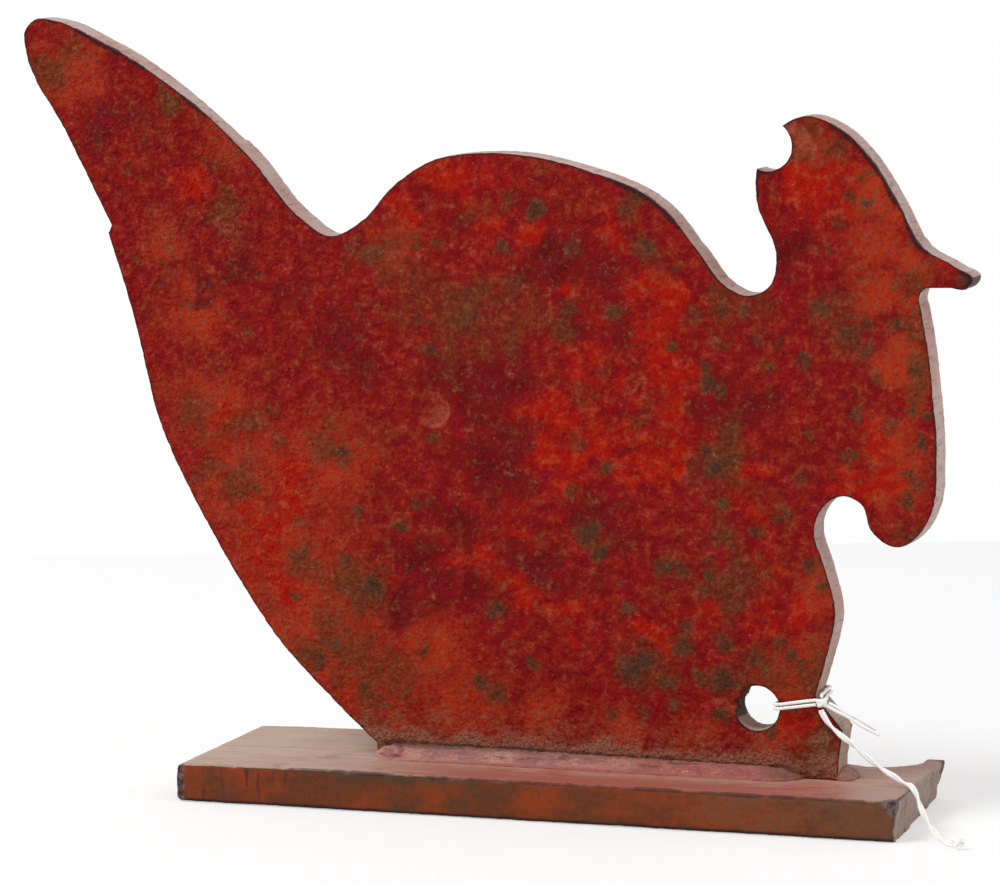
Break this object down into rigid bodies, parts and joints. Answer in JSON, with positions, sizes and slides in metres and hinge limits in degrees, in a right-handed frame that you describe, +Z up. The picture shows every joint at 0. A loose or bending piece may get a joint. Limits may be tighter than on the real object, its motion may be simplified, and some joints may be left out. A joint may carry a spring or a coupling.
{
  "type": "windmill weight",
  "caption": "Flat steel windmill weight: a fowl's outline flame-cut from plate, welded upright on a rectangular plate base, with a tie hole and a knotted string.",
  "frame": {"origin": "middle of the base plate's underside", "axes": "+X along the base towards the beak, +Y towards the figure's rear face, +Z up"},
  "size_m": [0.3127, 0.0817, 0.2415],
  "materials": {
    "red_paint": "old red paint on steel plate, mottled, pitted and rusting through",
    "base_paint": "worn red-brown paint and rust on steel plate, dusty on top",
    "weld_metal": "rippled fillet weld under thin faded paint and dust",
    "cotton": "white twisted cotton string"
  },
  "bodies": {
    "root": {"figure_plate": "red_paint", "base_plate": "base_paint", "front_weld": "weld_metal", "rear_weld": "weld_metal", "toe_weld": "weld_metal", "string_loop": "cotton", "string_hitch": "cotton", "tie_string": "cotton", "string_ends": "cotton", "end_knot": "cotton"}
  },
  "joints": []
}
